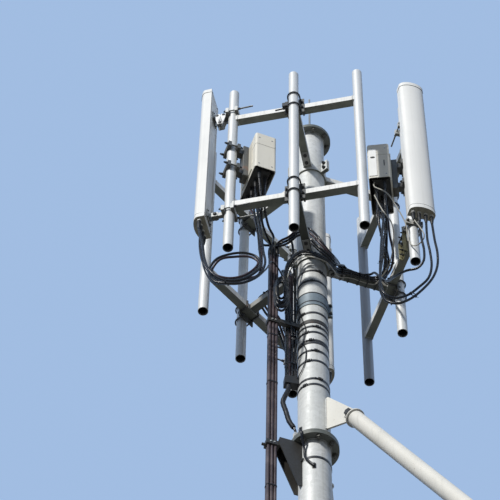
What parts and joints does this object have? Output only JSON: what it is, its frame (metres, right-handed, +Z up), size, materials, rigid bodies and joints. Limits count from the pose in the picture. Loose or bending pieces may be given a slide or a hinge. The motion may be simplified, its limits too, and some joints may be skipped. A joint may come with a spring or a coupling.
{
  "type": "monopole cell tower",
  "caption": "Stayed tube mast with a three-sided antenna headframe, panel antennas, radio units and their cables, for bolting to footings.",
  "frame": {"origin": "centre of the underside of the mast base plate, at ground level", "axes": "+Z up along the mast; the front face of the headframe looks along -Y; +X to the right seen from the front"},
  "size_m": [7.1542, 10.9786, 17.712],
  "materials": {
    "galvanised_mast": "weathered galvanised",
    "galvanised_pipe": "bright galvanised",
    "galvanised_rail": "bright galvanised",
    "strut_paint": "off-white paint, satin",
    "clamp_steel": "dark grey, satin",
    "bracket_steel": "galvanised",
    "radome": "off-white, matte",
    "radio_shell": "cream paint, matte",
    "radio_body": "dark grey, matte",
    "strap_steel": "dark, satin",
    "sleeve_steel": "blue grey, satin",
    "cable_black": "black sheath, matte"
  },
  "bodies": {
    "root": {"mast_base_plate": "galvanised_mast", "mast_base_section": "galvanised_mast", "mast_lower_section": "galvanised_mast", "mast_middle_section": "galvanised_mast", "mast_top_section": "galvanised_mast", "mast_cap": "galvanised_mast", "lightning_rod": "bracket_steel", "mast_straps": "strap_steel", "mast_sleeve": "sleeve_steel", "right_strut_gusset": "strut_paint", "back_strut_gusset": "strut_paint", "right_strut": "strut_paint", "back_strut": "strut_paint", "right_strut_foot": "galvanised_mast", "back_strut_foot": "galvanised_mast", "upper_collar": "galvanised_mast", "lower_collar": "galvanised_mast", "upper_arms": "galvanised_rail", "lower_arms": "galvanised_rail", "front_rails": "galvanised_rail", "right_rails": "galvanised_rail", "left_rails": "galvanised_rail", "front_left_pipe": "galvanised_pipe", "front_middle_pipe": "galvanised_pipe", "front_right_pipe": "galvanised_pipe", "right_near_pipe": "galvanised_pipe", "right_middle_pipe": "galvanised_pipe", "right_far_pipe": "galvanised_pipe", "left_near_pipe": "galvanised_pipe", "left_middle_pipe": "galvanised_pipe", "left_far_pipe": "galvanised_pipe", "front_pipe_saddles": "clamp_steel", "right_pipe_saddles": "clamp_steel", "left_pipe_saddles": "clamp_steel", "left_antenna": "radome", "right_antenna": "radome", "back_antenna": "radome", "left_antenna_brackets": "bracket_steel", "right_antenna_brackets": "bracket_steel", "back_antenna_brackets": "bracket_steel", "left_radio": "radio_body", "right_radio": "radio_body", "left_radio_cover": "radio_shell", "right_radio_cover": "radio_shell", "left_radio_bracket": "clamp_steel", "right_radio_bracket": "clamp_steel", "feeder_brackets": "bracket_steel", "feeder_run": "cable_black", "cable_box": "clamp_steel", "left_antenna_cables": "cable_black", "right_antenna_cables": "cable_black", "back_antenna_cables": "cable_black", "radio_cables": "cable_black", "earth_cable": "cable_black"}
  },
  "joints": []
}
